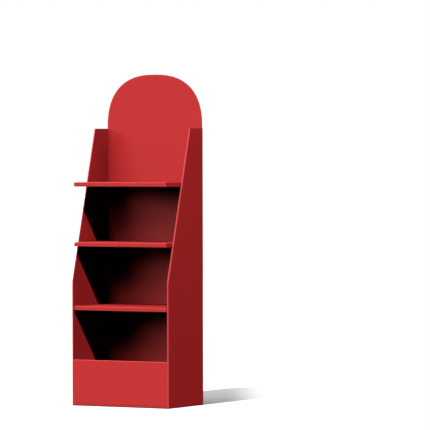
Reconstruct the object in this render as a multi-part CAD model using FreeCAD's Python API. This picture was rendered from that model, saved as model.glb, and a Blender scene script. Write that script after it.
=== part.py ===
"""Free-standing display stand of corrugated board, folded and slotted together.

Millimetres, +Z up. The origin is at the middle of the footprint, on the floor.
The open front faces -Y. The back, the arched header and the outer side walls are
one folded sheet, whose front edges turn in over the boards that line the side
walls. Those liners carry three shelves on tongues.
"""

import math
import os

import FreeCAD
import Part

V = FreeCAD.Vector

# Overall size
width = 502.0
depth = 313.0
height = 1490.0

# Boards
board = 3.0            # sheet of the wrap, the shelves and the base, also its outer fold radius
liner_board = 3.0      # board that lines each side wall
liner_front_gap = 0.3  # between a liner's front edge and the edge that turns in over it
liner_top_gap = 2.0    # how far a liner stays below the top edge of its wall

# Outline of a side wall
side_height = 1246.0
side_top_depth = 114.0
kink_height = 560.0    # below this the front edge is upright, above it leans back

# Header
arch_fullness = 2.48   # exponent of the arch's curve, 2 is an ellipse
arch_spans = 32        # spans of the curve from one spring point to the other

# Shelves, each height is that of the upper face
lower_shelf_height = 448.5
middle_shelf_height = 735.5
top_shelf_height = 1005.0
lip_height = 19.0
lip_return = 36.0      # ledge under the shelf behind the lip
shelf_setback = 2.5    # lips stay this far behind the front edges of the side walls
shelf_side_gap = 5.5   # open at each end, crossed by the tongues
shelf_back_gap = 0.5

# Tongues on the shelves and their slots in the liners
tongue_length = 45.0
tongue_margin = 22.0   # from the edges of the liner at the shelf's height
tongue_end_gap = 0.5   # from a tongue's tip to the outer side wall
slot_gap = 0.8         # at each end of a tongue and above it

# Base
base_front_height = 207.5
base_front_gap = 0.3   # at each end of the base front, filled by glue
base_seam = 1.0        # open seam between the tray and the base front
glue_flap = 34.0
tray_height = 11.0
tray_gap = 0.5
deck_height = 180.0
deck_flange = 42.0
deck_gap = 1.0
rib_board = 5.0
rib_end_gap = 6.0
rib_spread = 250.0     # between the middles of the two short ribs
rib_slot_gap = 0.3     # at each side of a rib in a slot

# Planes that several pieces share, and the slanted front edges' angle from upright
front = -depth / 2
back = depth / 2
back_inner = back - board
wall_inner = width / 2 - board
liner_inner = wall_inner - liner_board
lean = math.atan2(depth - side_top_depth, side_height - kink_height)


def box(x_range, y_range, z_range):
    """A box between two values on each axis."""
    size = [high - low for low, high in (x_range, y_range, z_range)]
    corner = V(x_range[0], y_range[0], z_range[0])
    return Part.makeBox(size[0], size[1], size[2], corner)


def both_sides(low, high):
    """A range on the right and the same range mirrored to the left."""
    return ((low, high), (-high, -low))


def prism(points, direction):
    """A solid from a closed outline of points, pushed along a direction."""
    return Part.Face(Part.makePolygon(points + points[:1])).extrude(direction)


def front_edge_at(z):
    """Where the front edge of a side wall lies at a height."""
    if z <= kink_height:
        return front
    return front + math.tan(lean) * (z - kink_height)


def side_sheet(x_range, z_range, inset):
    """A sheet between two heights with the side wall's front edge, moved in by an inset."""
    foot, top = z_range
    shift = inset / math.cos(lean)
    kink = kink_height - (shift - inset) / math.tan(lean)
    outline = [
        V(x_range[0], back_inner, foot),
        V(x_range[0], front + inset, foot),
        V(x_range[0], front + inset, kink),
        V(x_range[0], front_edge_at(top) + shift, top),
        V(x_range[0], back_inner, top),
    ]
    return prism(outline, V(x_range[1] - x_range[0], 0, 0))


def arch_outline(half_width, base_z, spring_z, top_z, y):
    """A face with upright sides and an arched top in the plane at y."""
    rise = top_z - spring_z
    power = 2 / arch_fullness
    points = []
    for step in range(arch_spans + 1):
        turn = math.pi * step / arch_spans
        across = math.copysign(abs(math.cos(turn)) ** power, math.cos(turn))
        points.append(V(half_width * across, y, spring_z + rise * abs(math.sin(turn)) ** power))
    points[0] = V(half_width, y, spring_z)
    points[-1] = V(-half_width, y, spring_z)
    curve = Part.BSplineCurve()
    curve.interpolate(Points=points, InitialTangent=V(0, 0, 1), FinalTangent=V(0, 0, -1))
    foot_left = V(-half_width, y, base_z)
    foot_right = V(half_width, y, base_z)
    left = Part.makeLine(points[-1], foot_left)
    foot = Part.makeLine(foot_left, foot_right)
    right = Part.makeLine(foot_right, points[0])
    return Part.Face(Part.Wire([curve.toShape(), left, foot, right]))


def rear_corner(side):
    """The rounded fold at a rear corner, a quarter of a disc in plan."""
    corner = Part.makeCylinder(board, side_height, V(side * wall_inner, back_inner, 0))
    reach = side * (wall_inner + board)
    quarter = box(sorted((side * wall_inner, reach)), (back_inner, back), (0, side_height))
    return corner.common(quarter)


def outer_side_wall(side):
    """A side wall whose front edge turns in, with room behind it for the liner."""
    x_range = sorted((side * liner_inner, side * width / 2))
    wall = side_sheet(x_range, (0, side_height), 0)
    folds = [
        edge for edge in wall.Edges
        if abs(edge.CenterOfMass.x - side * width / 2) < 1e-6
        and abs(edge.CenterOfMass.y - front_edge_at(edge.CenterOfMass.z)) < 1e-6
        and edge.BoundBox.ZLength > kink_height / 2
    ]
    wall = wall.makeFillet(board, folds)
    room = sorted((side * (liner_inner - board), side * wall_inner))
    return wall.cut(side_sheet(room, (-board, side_height + board), board))


def make_body_wrap():
    """Back, arched header and both outer side walls, folded from one sheet."""
    header = arch_outline(wall_inner, 0, side_height, height, back_inner)
    wrap = header.extrude(V(0, board, 0))
    for side in (1, -1):
        wrap = wrap.fuse(outer_side_wall(side))
        wrap = wrap.fuse(rear_corner(side))
    return wrap.removeSplitter()


def tongue_ranges(shelf_height):
    """The two ranges on Y that a shelf's tongues take at each end."""
    liner_front = front_edge_at(shelf_height + slot_gap) + board + liner_front_gap
    first = liner_front + tongue_margin
    last = back_inner - tongue_margin
    return ((first, first + tongue_length), (last - tongue_length, last))


def make_side_liner(x_range):
    """The board inside a side wall, with a slot for each tongue."""
    z_range = (0, side_height - liner_top_gap)
    liner = side_sheet(x_range, z_range, board + liner_front_gap)
    for shelf_height in (lower_shelf_height, middle_shelf_height, top_shelf_height):
        for low, high in tongue_ranges(shelf_height):
            y_range = (low - slot_gap, high + slot_gap)
            z_range = (shelf_height - board, shelf_height + slot_gap)
            liner = liner.cut(box(x_range, y_range, z_range))
    return liner


def edges_along(shape, axis, test):
    """Straight edges that run along an axis and whose middle passes a test."""
    chosen = []
    for edge in shape.Edges:
        ends = [vertex.Point for vertex in edge.Vertexes]
        if len(ends) != 2:
            continue
        run = ends[1] - ends[0]
        if abs(abs(run.normalize().dot(axis)) - 1) < 1e-6 and test(edge.CenterOfMass):
            chosen.append(edge)
    return chosen


def make_shelf(shelf_height):
    """A shelf folded from one sheet: deck, lip with its ledge, flanges, tongues."""
    half = liner_inner - shelf_side_gap
    lip_front = front + shelf_setback
    shelf_back = back_inner - shelf_back_gap
    under = shelf_height - lip_height
    shelf = box((-half, half), (lip_front, shelf_back), (under, shelf_height))
    upper = edges_along(shelf, V(1, 0, 0), lambda middle: middle.z > shelf_height - 1e-6)
    upper += edges_along(shelf, V(0, 1, 0), lambda middle: middle.z > shelf_height - 1e-6)
    lower = edges_along(shelf, V(1, 0, 0), lambda m: m.z < under + 1e-6 and m.y < 0)
    shelf = shelf.makeFillet(board * 0.8, upper + lower)
    hollow = half - board
    shelf = shelf.cut(box(
        (-hollow, hollow),
        (lip_front + board, shelf_back - board),
        (under + board, shelf_height - board),
    ))
    shelf = shelf.cut(box(
        (-hollow, hollow),
        (lip_front + board + lip_return, shelf_back - board),
        (under, under + board),
    ))
    tongue_tip = wall_inner - tongue_end_gap
    for y_range in tongue_ranges(shelf_height):
        for x_range in both_sides(hollow, tongue_tip):
            z_range = (shelf_height - board, shelf_height)
            shelf = shelf.fuse(box(x_range, y_range, z_range))
    return shelf.removeSplitter()


def make_base_front():
    """The panel in front of the base, folded double over its top edge."""
    half = liner_inner - base_front_gap
    foot = tray_height + base_seam
    thickness = 2 * board
    panel = box((-half, half), (front, front + thickness), (foot, base_front_height))
    top_edges = edges_along(panel, V(1, 0, 0), lambda m: m.z > base_front_height - 1e-6)
    panel = panel.makeFillet(board * 0.95, top_edges)
    flap_top = deck_height - board - deck_gap
    for x_range in both_sides(half - board, half):
        y_range = (front + board, front + board + glue_flap)
        panel = panel.fuse(box(x_range, y_range, (foot, flap_top)))
    return panel.removeSplitter()


def make_base_tray():
    """The shallow tray that closes the bottom, its four rims turned up."""
    half = liner_inner - tray_gap
    tray = box((-half, half), (front, back_inner - tray_gap), (0, tray_height))
    hollow = half - board
    y_range = (front + board, back_inner - tray_gap - board)
    return tray.cut(box((-hollow, hollow), y_range, (board, tray_height)))


def make_base_deck():
    """The deck that carries goods in the base, with a front and a rear flange."""
    half = liner_inner - deck_gap
    deck_front = front + 2 * board + deck_gap
    deck_back = back_inner - deck_gap
    under = deck_height - board
    deck = box((-half, half), (deck_front, deck_back), (under, deck_height))
    flange_half = liner_inner - base_front_gap - board - deck_gap
    for low in (deck_front, deck_back - board):
        z_range = (deck_height - deck_flange, deck_height)
        flange = box((-flange_half, flange_half), (low, low + board), z_range)
        deck = deck.fuse(flange)
    return deck.removeSplitter()


def rib_ends():
    """Where the ribs inside the base begin and end on Y."""
    deck_front = front + 2 * board + deck_gap
    deck_back = back_inner - deck_gap
    return (deck_front + board + rib_end_gap, deck_back - board - rib_end_gap)


def rib_heights():
    """Lower end, middle and upper end of the ribs inside the base."""
    foot = board
    top = deck_height - board
    return (foot, (foot + top) / 2, top)


def make_base_rib_long():
    """The rib across the base, slotted from above for the two short ribs."""
    foot, middle, top = rib_heights()
    half = liner_inner - base_front_gap - board - rib_end_gap
    rib = box((-half, half), (-rib_board / 2, rib_board / 2), (foot, top))
    slot_half = rib_board / 2 + rib_slot_gap
    for x in (-rib_spread / 2, rib_spread / 2):
        rib = rib.cut(box((x - slot_half, x + slot_half), (-rib_board, rib_board), (middle, top)))
    return rib


def make_base_rib_short(x):
    """A rib from front to back, slotted from below over the long rib."""
    foot, middle, top = rib_heights()
    x_range = (x - rib_board / 2, x + rib_board / 2)
    rib = box(x_range, rib_ends(), (foot, top))
    slot_half = rib_board / 2 + rib_slot_gap
    return rib.cut(box(x_range, (-slot_half, slot_half), (foot, middle)))


def main():
    right_liner, left_liner = both_sides(liner_inner, wall_inner)
    nodes = {
        "body_wrap": make_body_wrap(),
        "left_side_liner": make_side_liner(left_liner),
        "right_side_liner": make_side_liner(right_liner),
        "lower_shelf": make_shelf(lower_shelf_height),
        "middle_shelf": make_shelf(middle_shelf_height),
        "top_shelf": make_shelf(top_shelf_height),
        "base_front": make_base_front(),
        "base_tray": make_base_tray(),
        "base_deck": make_base_deck(),
        "base_rib_long": make_base_rib_long(),
        "base_rib_left": make_base_rib_short(-rib_spread / 2),
        "base_rib_right": make_base_rib_short(rib_spread / 2),
    }
    os.makedirs("parts", exist_ok=True)
    for name, shape in nodes.items():
        solid = shape.Solids[0]
        print(name, len(shape.Solids), solid.isValid(), round(shape.Volume / 1000), "cm3")
        solid.exportStep("parts/" + name + ".step")


main()
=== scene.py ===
"""Finish, floor, lights and camera for a free-standing display stand of folded board.

Metres, +Z up. The open front faces -Y, and the origin is on the floor under the
middle of the stand.
"""

import math

import bpy
from mathutils import Matrix, Vector


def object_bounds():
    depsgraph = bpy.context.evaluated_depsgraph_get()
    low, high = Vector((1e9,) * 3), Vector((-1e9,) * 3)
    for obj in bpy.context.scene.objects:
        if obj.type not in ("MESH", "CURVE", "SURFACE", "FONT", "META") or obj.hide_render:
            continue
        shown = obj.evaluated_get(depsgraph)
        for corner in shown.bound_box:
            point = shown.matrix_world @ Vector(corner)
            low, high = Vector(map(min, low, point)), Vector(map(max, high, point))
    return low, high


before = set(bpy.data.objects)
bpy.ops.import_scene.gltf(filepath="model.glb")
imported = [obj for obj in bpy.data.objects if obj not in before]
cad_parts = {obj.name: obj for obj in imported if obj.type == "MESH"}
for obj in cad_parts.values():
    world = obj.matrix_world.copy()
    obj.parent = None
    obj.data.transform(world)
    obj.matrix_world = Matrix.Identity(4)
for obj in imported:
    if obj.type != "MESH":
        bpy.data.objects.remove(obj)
cad_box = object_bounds()

# Camera, seen from the front's right. Angles in degrees, lengths in metres.
IMAGE_WIDTH = 430
CAMERA_AZIMUTH = 30.7947
CAMERA_DISTANCE = 17.8834
CAMERA_HEIGHT = 1.21252
CAMERA_TURN = -1.119
CAMERA_PITCH = -1.1427
CAMERA_ROLL = -0.1438
CAMERA_REACH = 500.0
CAMERA_FOCUS = 3973.507          # focal length in pixels of the 430 pixel frame
SENSOR_WIDTH = 36.0              # millimetres

# Lights. A level of 1 shows a colour facing the light as it is written.
# Azimuth 0 is in front of the stand and 90 is on its right. Angles in degrees.
KEY_LEVEL = 0.93
KEY_AZIMUTH = 34.5
KEY_ELEVATION = 45.5
KEY_SPREAD = 1.0
FILL_SPREAD = 14.0
FILL_ARC = (                     # level, azimuth and elevation along a bent softbox
    (0.150, -7.0, 34.0),
    (0.078, -20.0, 26.0),
    (0.113, -30.0, 15.0),
    (0.107, -40.0, 9.0),
    (0.062, -50.0, 10.0),
)
SOFT_SPREAD = 25.0               # of the high, rear and left lights
HIGH_LEVEL = 0.236
HIGH_AZIMUTH = -13.0
HIGH_ELEVATION = 62.0
REAR_LEVEL = 0.85
REAR_AZIMUTH = -158.0
REAR_ELEVATION = 28.0
LEFT_LEVEL = 0.5
LEFT_AZIMUTH = -95.0
LEFT_ELEVATION = 22.0
SIDE_POWER = 16.5                # watts
SIDE_PLACE = (1.75, -0.12, 1.5)
SIDE_SIZE = 0.15
FLOOR_KEY_LEVEL = 1.4
FLOOR_KEY_AZIMUTH = -1.0
FLOOR_KEY_ELEVATION = 50.0
FLOOR_SPREAD = 80.0              # of the two soft lamps on the floor
FLOOR_LEFT_LEVEL = 0.44
FLOOR_LEFT_AZIMUTH = -38.0
FLOOR_LEFT_ELEVATION = 30.0
FLOOR_TOP_LEVEL = 0.46
LIGHT_BOUNCES = 0                # no light passes on from one red face to the next
GLOSSY_STUDIO = 0.05             # what glossy reflections see of the studio around

# Floor. The shadow fades out towards the right, in metres along the picture's width.
FLOOR_HALF = 60.0
FLOOR_WHITE = (0.9, 0.9, 0.9)
FADE_START = 0.40
FADE_END = 0.60

# Board, in metres
FLUTE_PITCH = 0.0064
BOARD = 0.003
WALL_OUTSIDE = cad_box[1][0]
HEADER_BACK = cad_box[1][1]
WALL_TOP = 1.246
ABOVE_WALL = 0.0005              # the header's cut edge starts this far above the walls
FOOT_SHADE_HEIGHT = 0.007                # height of the painted contact shade at the foot

# Colours
PRINT_RED = (0.534, 0.0105, 0.0115)
# Lighter red of folds and wall rims: a painted highlight, and worn print.
SHEEN_AND_WEAR_RED = (0.64, 0.055, 0.060)
# Dark red at the foot: painted contact shade.
FOOT_SHADE_RED = (0.25, 0.006, 0.006)
EDGE_RED = (0.40, 0.010, 0.011)
# Hollows between the flutes at cut edges: painted shade.
HOLLOW_SHADE_RED = (0.16, 0.004, 0.004)
PLAIN_BROWN = (0.36, 0.22, 0.12)
# Hollows between the flutes of the bare board: painted shade.
HOLLOW_SHADE_BROWN = (0.10, 0.055, 0.028)

# Surface of the print and of the bare board. The ripple is how far the flutes show through.
PRINT_ROUGHNESS = 0.7
PRINT_GLOSS = 0.5
PRINT_RIPPLE = 0.8
PLAIN_ROUGHNESS = 0.85
PLAIN_GLOSS = 0.2
PLAIN_RIPPLE = 1.2
MOTTLE_SCALE = 14.0
MOTTLE_DETAIL = 3.0
FIBRE_SCALE = 420.0
FIBRE_DETAIL = 4.0
LOWEST_TONE = 0.935              # share of the colour that is left where both noises are 0
MOTTLE_TONE = 0.05
FIBRE_TONE = 0.08
FIBRE_RELIEF = 0.35
RELIEF_STRENGTH = 0.25
RELIEF_HEIGHT = 0.0001

# Cut edges. Depths run from -1 on one liner of the board to 1 on the other.
WAVE_DEPTH = 0.6                 # how far the fluted paper swings to each side
WAVE_PAPER = 0.28                # depth that the fluted paper covers from its own middle
LINER_DEPTH = 0.72               # past this depth the edge shows the liner's paper
HOLLOW_WAVE = 0.3                # a bare cut edge is hollow, shown with painted shade, where the wave is above this

# Where a surface faces, as parts of its normal. Pairs are the start and end of a change.
SQUARE_ON = 0.7                  # a face looks along an axis
TOP_CUT = 0.9                    # a cut edge looks up
ARCH_CUT = 0.5                   # the cut round the arch looks less to the back than this
RIM_FACING = (-0.6, -0.9)
WALL_FOLD = (0.05, 0.3)          # product of two parts on a fold's bend
SHEET_FOLD = (0.02, 0.2)
RIM_SHEEN = 0.5                   # how far the walls' front edges take the lighter colour, as a painted highlight

PLAIN_NODES = ("base_rib_long", "base_rib_left", "base_rib_right")
WALL_NODES = ("body_wrap", "left_side_liner", "right_side_liner")


def light_direction(azimuth, elevation):
    """Unit vector towards a light. Azimuth 0 is the front and 90 is the right."""
    turn, rise = math.radians(azimuth), math.radians(elevation)
    across = math.cos(rise)
    return Vector((math.sin(turn) * across, -math.cos(turn) * across, math.sin(rise)))


def add_sun(name, level, azimuth, elevation, spread):
    """A lamp at infinity whose disc has a spread in degrees."""
    lamp = bpy.data.lights.new(name, "SUN")
    lamp.energy = math.pi * level
    lamp.cycles.max_bounces = LIGHT_BOUNCES
    lamp.angle = math.radians(spread)
    sun = bpy.data.objects.new(name, lamp)
    towards = light_direction(azimuth, elevation)
    sun.rotation_euler = towards.to_track_quat("Z", "Y").to_euler()
    bpy.context.scene.collection.objects.link(sun)
    return sun


def add_side_light():
    """A small lamp out on the right, whose light fades towards the foot of the side wall."""
    lamp = bpy.data.lights.new("side_light", "POINT")
    lamp.energy = SIDE_POWER
    lamp.cycles.max_bounces = LIGHT_BOUNCES
    lamp.shadow_soft_size = SIDE_SIZE
    side = bpy.data.objects.new("side_light", lamp)
    side.location = SIDE_PLACE
    bpy.context.scene.collection.objects.link(side)
    return side


def light_group(name, floor, state):
    """A list of what a lamp lights: the floor alone, or everything but the floor."""
    group = bpy.data.collections.new(name)
    group.objects.link(floor)
    group.collection_objects[0].light_linking.link_state = state
    return group


def add_lights(floor):
    """A hard key and soft lamps all round for the stand, and three lamps for the floor alone."""
    stand_lamps = [
        add_sun("key_light", KEY_LEVEL, KEY_AZIMUTH, KEY_ELEVATION, KEY_SPREAD),
        add_sun("high_light", HIGH_LEVEL, HIGH_AZIMUTH, HIGH_ELEVATION, SOFT_SPREAD),
        add_sun("rear_light", REAR_LEVEL, REAR_AZIMUTH, REAR_ELEVATION, SOFT_SPREAD),
        add_sun("left_light", LEFT_LEVEL, LEFT_AZIMUTH, LEFT_ELEVATION, SOFT_SPREAD),
        add_side_light(),
    ]
    for count, (level, azimuth, elevation) in enumerate(FILL_ARC):
        stand_lamps.append(add_sun(f"fill_light_{count}", level, azimuth, elevation, FILL_SPREAD))
    floor_lamps = [
        add_sun("floor_key", FLOOR_KEY_LEVEL, FLOOR_KEY_AZIMUTH, FLOOR_KEY_ELEVATION, KEY_SPREAD),
        add_sun("floor_left", FLOOR_LEFT_LEVEL, FLOOR_LEFT_AZIMUTH, FLOOR_LEFT_ELEVATION,
                FLOOR_SPREAD),
        add_sun("floor_top", FLOOR_TOP_LEVEL, 0, 90, FLOOR_SPREAD),
    ]
    stand_only = light_group("lit_by_stand_lamps", floor, "EXCLUDE")
    floor_only = light_group("lit_by_floor_lamps", floor, "INCLUDE")
    for lamp in stand_lamps:
        lamp.light_linking.receiver_collection = stand_only
    for lamp in floor_lamps:
        lamp.light_linking.receiver_collection = floor_only


def add_world():
    """A studio that is white to the camera and nearly dark to the stand."""
    world = bpy.data.worlds.new("studio")
    world.use_nodes = True
    nodes, links = world.node_tree.nodes, world.node_tree.links
    background = nodes["Background"]
    background.inputs["Color"].default_value = (1, 1, 1, 1)
    path = nodes.new("ShaderNodeLightPath")
    seen = nodes.new("ShaderNodeMath")
    seen.operation = "MAXIMUM"
    links.new(path.outputs["Is Camera Ray"], seen.inputs[0])
    links.new(path.outputs["Is Transmission Ray"], seen.inputs[1])
    strength = nodes.new("ShaderNodeMath")
    strength.operation = "MULTIPLY_ADD"
    links.new(path.outputs["Is Glossy Ray"], strength.inputs[0])
    strength.inputs[1].default_value = GLOSSY_STUDIO
    links.new(seen.outputs[0], strength.inputs[2])
    links.new(strength.outputs[0], background.inputs["Strength"])
    bpy.context.scene.world = world


def floor_material():
    """Pale to the camera, fading to white beside the stand, and black to all other rays."""
    material = new_material("pale_floor")
    nodes, links = material.node_tree.nodes, material.node_tree.links
    nodes.remove(nodes["Principled BSDF"])
    pale = nodes.new("ShaderNodeBsdfDiffuse")
    pale.inputs["Color"].default_value = (*FLOOR_WHITE, 1)
    dark = nodes.new("ShaderNodeBsdfDiffuse")
    dark.inputs["Color"].default_value = (0, 0, 0, 1)
    white = nodes.new("ShaderNodeEmission")
    azimuth = math.radians(CAMERA_AZIMUTH)
    picture_width = (math.cos(azimuth), math.sin(azimuth), 0)
    across = vector_math(material, "DOT_PRODUCT", object_place(material), picture_width)
    fade = nodes.new("ShaderNodeMixShader")
    links.new(step(material, across, FADE_START, FADE_END), fade.inputs["Fac"])
    links.new(pale.outputs[0], fade.inputs[1])
    links.new(white.outputs[0], fade.inputs[2])
    path = nodes.new("ShaderNodeLightPath")
    mix = nodes.new("ShaderNodeMixShader")
    links.new(path.outputs["Is Camera Ray"], mix.inputs["Fac"])
    links.new(dark.outputs[0], mix.inputs[1])
    links.new(fade.outputs[0], mix.inputs[2])
    links.new(mix.outputs[0], nodes["Material Output"].inputs["Surface"])
    return material


def add_floor():
    """A wide flat floor that keeps the stand's shadow."""
    half = FLOOR_HALF
    corners = [(-half, -half, 0), (half, -half, 0), (half, half, 0), (-half, half, 0)]
    mesh = bpy.data.meshes.new("floor")
    mesh.from_pydata(corners, [], [(0, 1, 2, 3)])
    mesh.materials.append(floor_material())
    floor = bpy.data.objects.new("floor", mesh)
    bpy.context.scene.collection.objects.link(floor)
    return floor


def add_camera():
    """A long lens far off to the front's right, turned, tilted and rolled a little."""
    data = bpy.data.cameras.new("camera")
    data.sensor_width = SENSOR_WIDTH
    data.lens = CAMERA_FOCUS * SENSOR_WIDTH / IMAGE_WIDTH
    data.clip_end = CAMERA_REACH
    camera = bpy.data.objects.new("camera", data)
    azimuth = math.radians(CAMERA_AZIMUTH)
    place = Vector((math.sin(azimuth), -math.cos(azimuth), 0)) * CAMERA_DISTANCE
    place.z = CAMERA_HEIGHT
    turn = Matrix.Rotation(azimuth + math.radians(CAMERA_TURN), 4, "Z")
    tilt = Matrix.Rotation(math.pi / 2 + math.radians(CAMERA_PITCH), 4, "X")
    roll = Matrix.Rotation(math.radians(CAMERA_ROLL), 4, "Z")
    camera.matrix_world = Matrix.Translation(place) @ turn @ tilt @ roll
    bpy.context.scene.collection.objects.link(camera)
    bpy.context.scene.camera = camera


def new_material(name):
    """A material with its own nodes."""
    material = bpy.data.materials.new(name)
    material.use_nodes = True
    return material


def set_inputs(material, node, values):
    """Link sockets and set plain numbers on a node's inputs, in order."""
    for socket, value in zip(node.inputs, values):
        if isinstance(value, bpy.types.NodeSocket):
            material.node_tree.links.new(value, socket)
        else:
            socket.default_value = value


def number(material, operation, *values):
    """The result of a math node."""
    node = material.node_tree.nodes.new("ShaderNodeMath")
    node.operation = operation
    set_inputs(material, node, values)
    return node.outputs[0]


def vector_math(material, operation, first, second):
    """A number from two vectors."""
    node = material.node_tree.nodes.new("ShaderNodeVectorMath")
    node.operation = operation
    set_inputs(material, node, (first, second))
    return node.outputs["Value"]


def step(material, value, start, end):
    """0 up to start and 1 from end on, with a smooth change. Start may be the larger one."""
    node = material.node_tree.nodes.new("ShaderNodeMapRange")
    node.interpolation_type = "SMOOTHSTEP"
    set_inputs(material, node, (value, start, end))
    return node.outputs[0]


def choose(material, switch, off, on):
    """One number where a switch is 0 and another where it is 1."""
    node = material.node_tree.nodes.new("ShaderNodeMix")
    set_inputs(material, node, (switch,))
    for name, value in (("A", off), ("B", on)):
        socket = next(s for s in node.inputs if s.name == name and s.type == "VALUE")
        material.node_tree.links.new(value, socket)
    return node.outputs[0]


def blend_color(material, amount, under, over):
    """One colour laid over another by an amount from 0 to 1."""
    node = material.node_tree.nodes.new("ShaderNodeMix")
    node.data_type = "RGBA"
    material.node_tree.links.new(amount, node.inputs["Factor"])
    for name, value in (("A", under), ("B", over)):
        socket = next(s for s in node.inputs if s.name == name and s.type == "RGBA")
        if isinstance(value, bpy.types.NodeSocket):
            material.node_tree.links.new(value, socket)
        else:
            socket.default_value = (*value, 1)
    return next(s for s in node.outputs if s.type == "RGBA")


def parts_of(material, vector):
    """The X, Y and Z of a vector."""
    node = material.node_tree.nodes.new("ShaderNodeSeparateXYZ")
    material.node_tree.links.new(vector, node.inputs[0])
    return node.outputs


def object_place(material):
    """The place on a piece, in the piece's own coordinates."""
    return material.node_tree.nodes.new("ShaderNodeTexCoord").outputs["Object"]


def face_parts(material):
    """The X, Y and Z of where the surface faces."""
    geometry = material.node_tree.nodes.new("ShaderNodeNewGeometry")
    return parts_of(material, geometry.outputs["Normal"])


def noise(material, place, scale, detail):
    """Smooth noise from 0 to 1."""
    node = material.node_tree.nodes.new("ShaderNodeTexNoise")
    node.inputs["Scale"].default_value = scale
    node.inputs["Detail"].default_value = detail
    material.node_tree.links.new(place, node.inputs["Vector"])
    return node.outputs["Fac"]


def flute_wave(material, along):
    """The flutes' wave from -1 to 1, along a coordinate across the flutes."""
    angle = number(material, "MULTIPLY", along, 2 * math.pi / FLUTE_PITCH)
    return number(material, "SINE", angle)


def cut_paper(material, along, depth):
    """Where a cut edge has paper: its two liners and the wave between them."""
    wave = number(material, "MULTIPLY", flute_wave(material, along), WAVE_DEPTH)
    off_wave = number(material, "ABSOLUTE", number(material, "SUBTRACT", depth, wave))
    on_wave = number(material, "LESS_THAN", off_wave, WAVE_PAPER)
    in_liner = number(material, "GREATER_THAN", number(material, "ABSOLUTE", depth), LINER_DEPTH)
    return number(material, "MAXIMUM", on_wave, in_liner)


def board_surface(material, color, roughness, gloss, ripple):
    """Colour with faint mottling, paper grain and the ripple of the flutes beneath."""
    nodes, links = material.node_tree.nodes, material.node_tree.links
    shader = nodes["Principled BSDF"]
    shader.inputs["Roughness"].default_value = roughness
    shader.inputs["Specular IOR Level"].default_value = gloss
    place = object_place(material)
    mottle = noise(material, place, MOTTLE_SCALE, MOTTLE_DETAIL)
    fibre = noise(material, place, FIBRE_SCALE, FIBRE_DETAIL)

    tone = number(material, "ADD",
                  number(material, "MULTIPLY_ADD", mottle, MOTTLE_TONE, LOWEST_TONE),
                  number(material, "MULTIPLY", fibre, FIBRE_TONE))
    tint = nodes.new("ShaderNodeVectorMath")
    tint.operation = "SCALE"
    links.new(color, tint.inputs[0])
    links.new(tone, tint.inputs["Scale"])
    links.new(tint.outputs[0], shader.inputs["Base Color"])

    spot = parts_of(material, place)
    x_facing = number(material, "ABSOLUTE", face_parts(material)["X"])
    sideways = number(material, "GREATER_THAN", x_facing, SQUARE_ON)
    wave = flute_wave(material, choose(material, sideways, spot["X"], spot["Y"]))
    grain = number(material, "MULTIPLY", fibre, FIBRE_RELIEF)
    relief = nodes.new("ShaderNodeBump")
    relief.inputs["Strength"].default_value = RELIEF_STRENGTH
    relief.inputs["Distance"].default_value = RELIEF_HEIGHT
    links.new(number(material, "MULTIPLY_ADD", wave, ripple, grain), relief.inputs["Height"])
    links.new(relief.outputs[0], shader.inputs["Normal"])


def shaded_foot(material, spot, color):
    """A sheet's colour with painted contact shade darkening its foot."""
    # Painted contact shade over the lowest few millimetres.
    foot = step(material, spot["Z"], FOOT_SHADE_HEIGHT, FOOT_SHADE_HEIGHT / 2)
    return blend_color(material, foot, color, FOOT_SHADE_RED)


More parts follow.
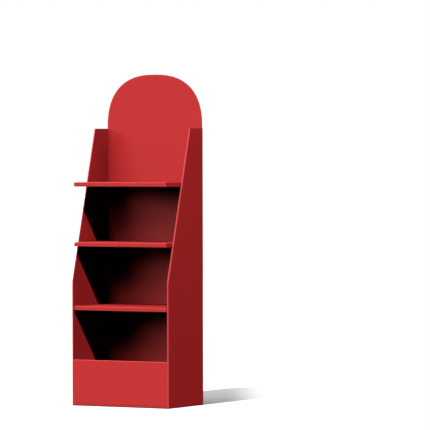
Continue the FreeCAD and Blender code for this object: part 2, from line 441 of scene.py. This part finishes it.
def wall_sheet_material():
    """Red print of the sheet with the back, the header and the side walls, and of its liners.

    Its folds stand upright, lighter with a painted highlight and worn print, as its front rims
    are in part;
    its edges are cut across the top and round the arch, with painted shade in the flutes'
    hollows, and its foot is darkened with painted contact shade.
    """
    material = new_material("printed_red_walls")
    spot = parts_of(material, object_place(material))
    facing = face_parts(material)
    x_side = number(material, "ABSOLUTE", spot["X"])
    nx, ny, nz = (number(material, "ABSOLUTE", facing[axis]) for axis in "XYZ")

    # Folds, and the front rims in part, take a painted highlight together with worn print.
    fold = step(material, number(material, "MULTIPLY", nx, ny), *WALL_FOLD)
    forward = step(material, facing["Y"], *RIM_FACING)
    in_wall = number(material, "GREATER_THAN", x_side, WALL_OUTSIDE - 2 * BOARD)
    below_top = number(material, "LESS_THAN", spot["Z"], WALL_TOP)
    rim = number(material, "MULTIPLY", forward, number(material, "MULTIPLY", in_wall, below_top))
    sheen_and_wear = number(material, "MAXIMUM", fold, number(material, "MULTIPLY", rim, RIM_SHEEN))

    in_header = number(material, "GREATER_THAN", spot["Z"], WALL_TOP + ABOVE_WALL)
    round_arch = number(material, "MULTIPLY", in_header,
                        number(material, "LESS_THAN", ny, ARCH_CUT))
    cut = number(material, "MAXIMUM", round_arch, number(material, "GREATER_THAN", nz, TOP_CUT))
    header_depth = number(material, "SUBTRACT", spot["Y"], HEADER_BACK - BOARD / 2)
    wall_depth = number(material, "SUBTRACT", x_side, WALL_OUTSIDE - BOARD / 2)
    depth = number(material, "DIVIDE",
                   choose(material, in_wall, header_depth, wall_depth), BOARD / 2)
    paper = cut_paper(material, choose(material, in_wall, spot["X"], spot["Y"]), depth)

    color = blend_color(material, sheen_and_wear, PRINT_RED, SHEEN_AND_WEAR_RED)
    # The foot is darkened with painted contact shade.
    color = shaded_foot(material, spot, color)
    # Cut edges show their paper, with painted shade in the hollows between.
    color = blend_color(material, cut, color, blend_color(material, paper, HOLLOW_SHADE_RED, EDGE_RED))
    board_surface(material, color, PRINT_ROUGHNESS, PRINT_GLOSS, PRINT_RIPPLE)
    return material


def folded_sheet_material():
    """Red print of a shelf, front, tray or deck; painted highlight and worn print along every
    fold.
    """
    material = new_material("printed_red_folds")
    spot = parts_of(material, object_place(material))
    facing = face_parts(material)
    nx, ny, nz = (number(material, "ABSOLUTE", facing[axis]) for axis in "XYZ")
    # Every fold takes a painted highlight together with worn print.
    along_fold = step(material, number(material, "MULTIPLY", ny, nz), *SHEET_FOLD)
    corner_fold = step(material, number(material, "MULTIPLY", nx, ny), *SHEET_FOLD)
    sheen_and_wear = number(material, "MAXIMUM", along_fold, corner_fold)
    color = blend_color(material, sheen_and_wear, PRINT_RED, SHEEN_AND_WEAR_RED)
    color = shaded_foot(material, spot, color)
    board_surface(material, color, PRINT_ROUGHNESS, PRINT_GLOSS, PRINT_RIPPLE)
    return material


def plain_board_material():
    """Bare brown board whose upper and lower edges show the flutes, with painted shade in the
    hollows.
    """
    material = new_material("plain_brown_board")
    spot = parts_of(material, object_place(material))
    z_facing = number(material, "ABSOLUTE", face_parts(material)["Z"])
    cut = number(material, "GREATER_THAN", z_facing, SQUARE_ON)
    wave = flute_wave(material, number(material, "ADD", spot["X"], spot["Y"]))
    # The hollows of the cut edges' flutes get painted shade.
    in_hollow = number(material, "GREATER_THAN", wave, HOLLOW_WAVE)
    hollow = number(material, "MULTIPLY", cut, in_hollow)
    color = blend_color(material, hollow, PLAIN_BROWN, HOLLOW_SHADE_BROWN)
    board_surface(material, color, PLAIN_ROUGHNESS, PLAIN_GLOSS, PLAIN_RIPPLE)
    return material


def dress_nodes():
    """Give every piece of the stand its finish."""
    walls, folds, plain = wall_sheet_material(), folded_sheet_material(), plain_board_material()
    for name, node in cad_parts.items():
        finish = plain if name in PLAIN_NODES else walls if name in WALL_NODES else folds
        node.data.materials.clear()
        node.data.materials.append(finish)


def main():
    """Dress the stand and set the studio up around it."""
    dress_nodes()
    add_world()
    add_lights(add_floor())
    add_camera()
    bpy.context.scene.view_settings.view_transform = "Standard"
    bpy.context.scene.cycles.diffuse_bounces = LIGHT_BOUNCES


main()
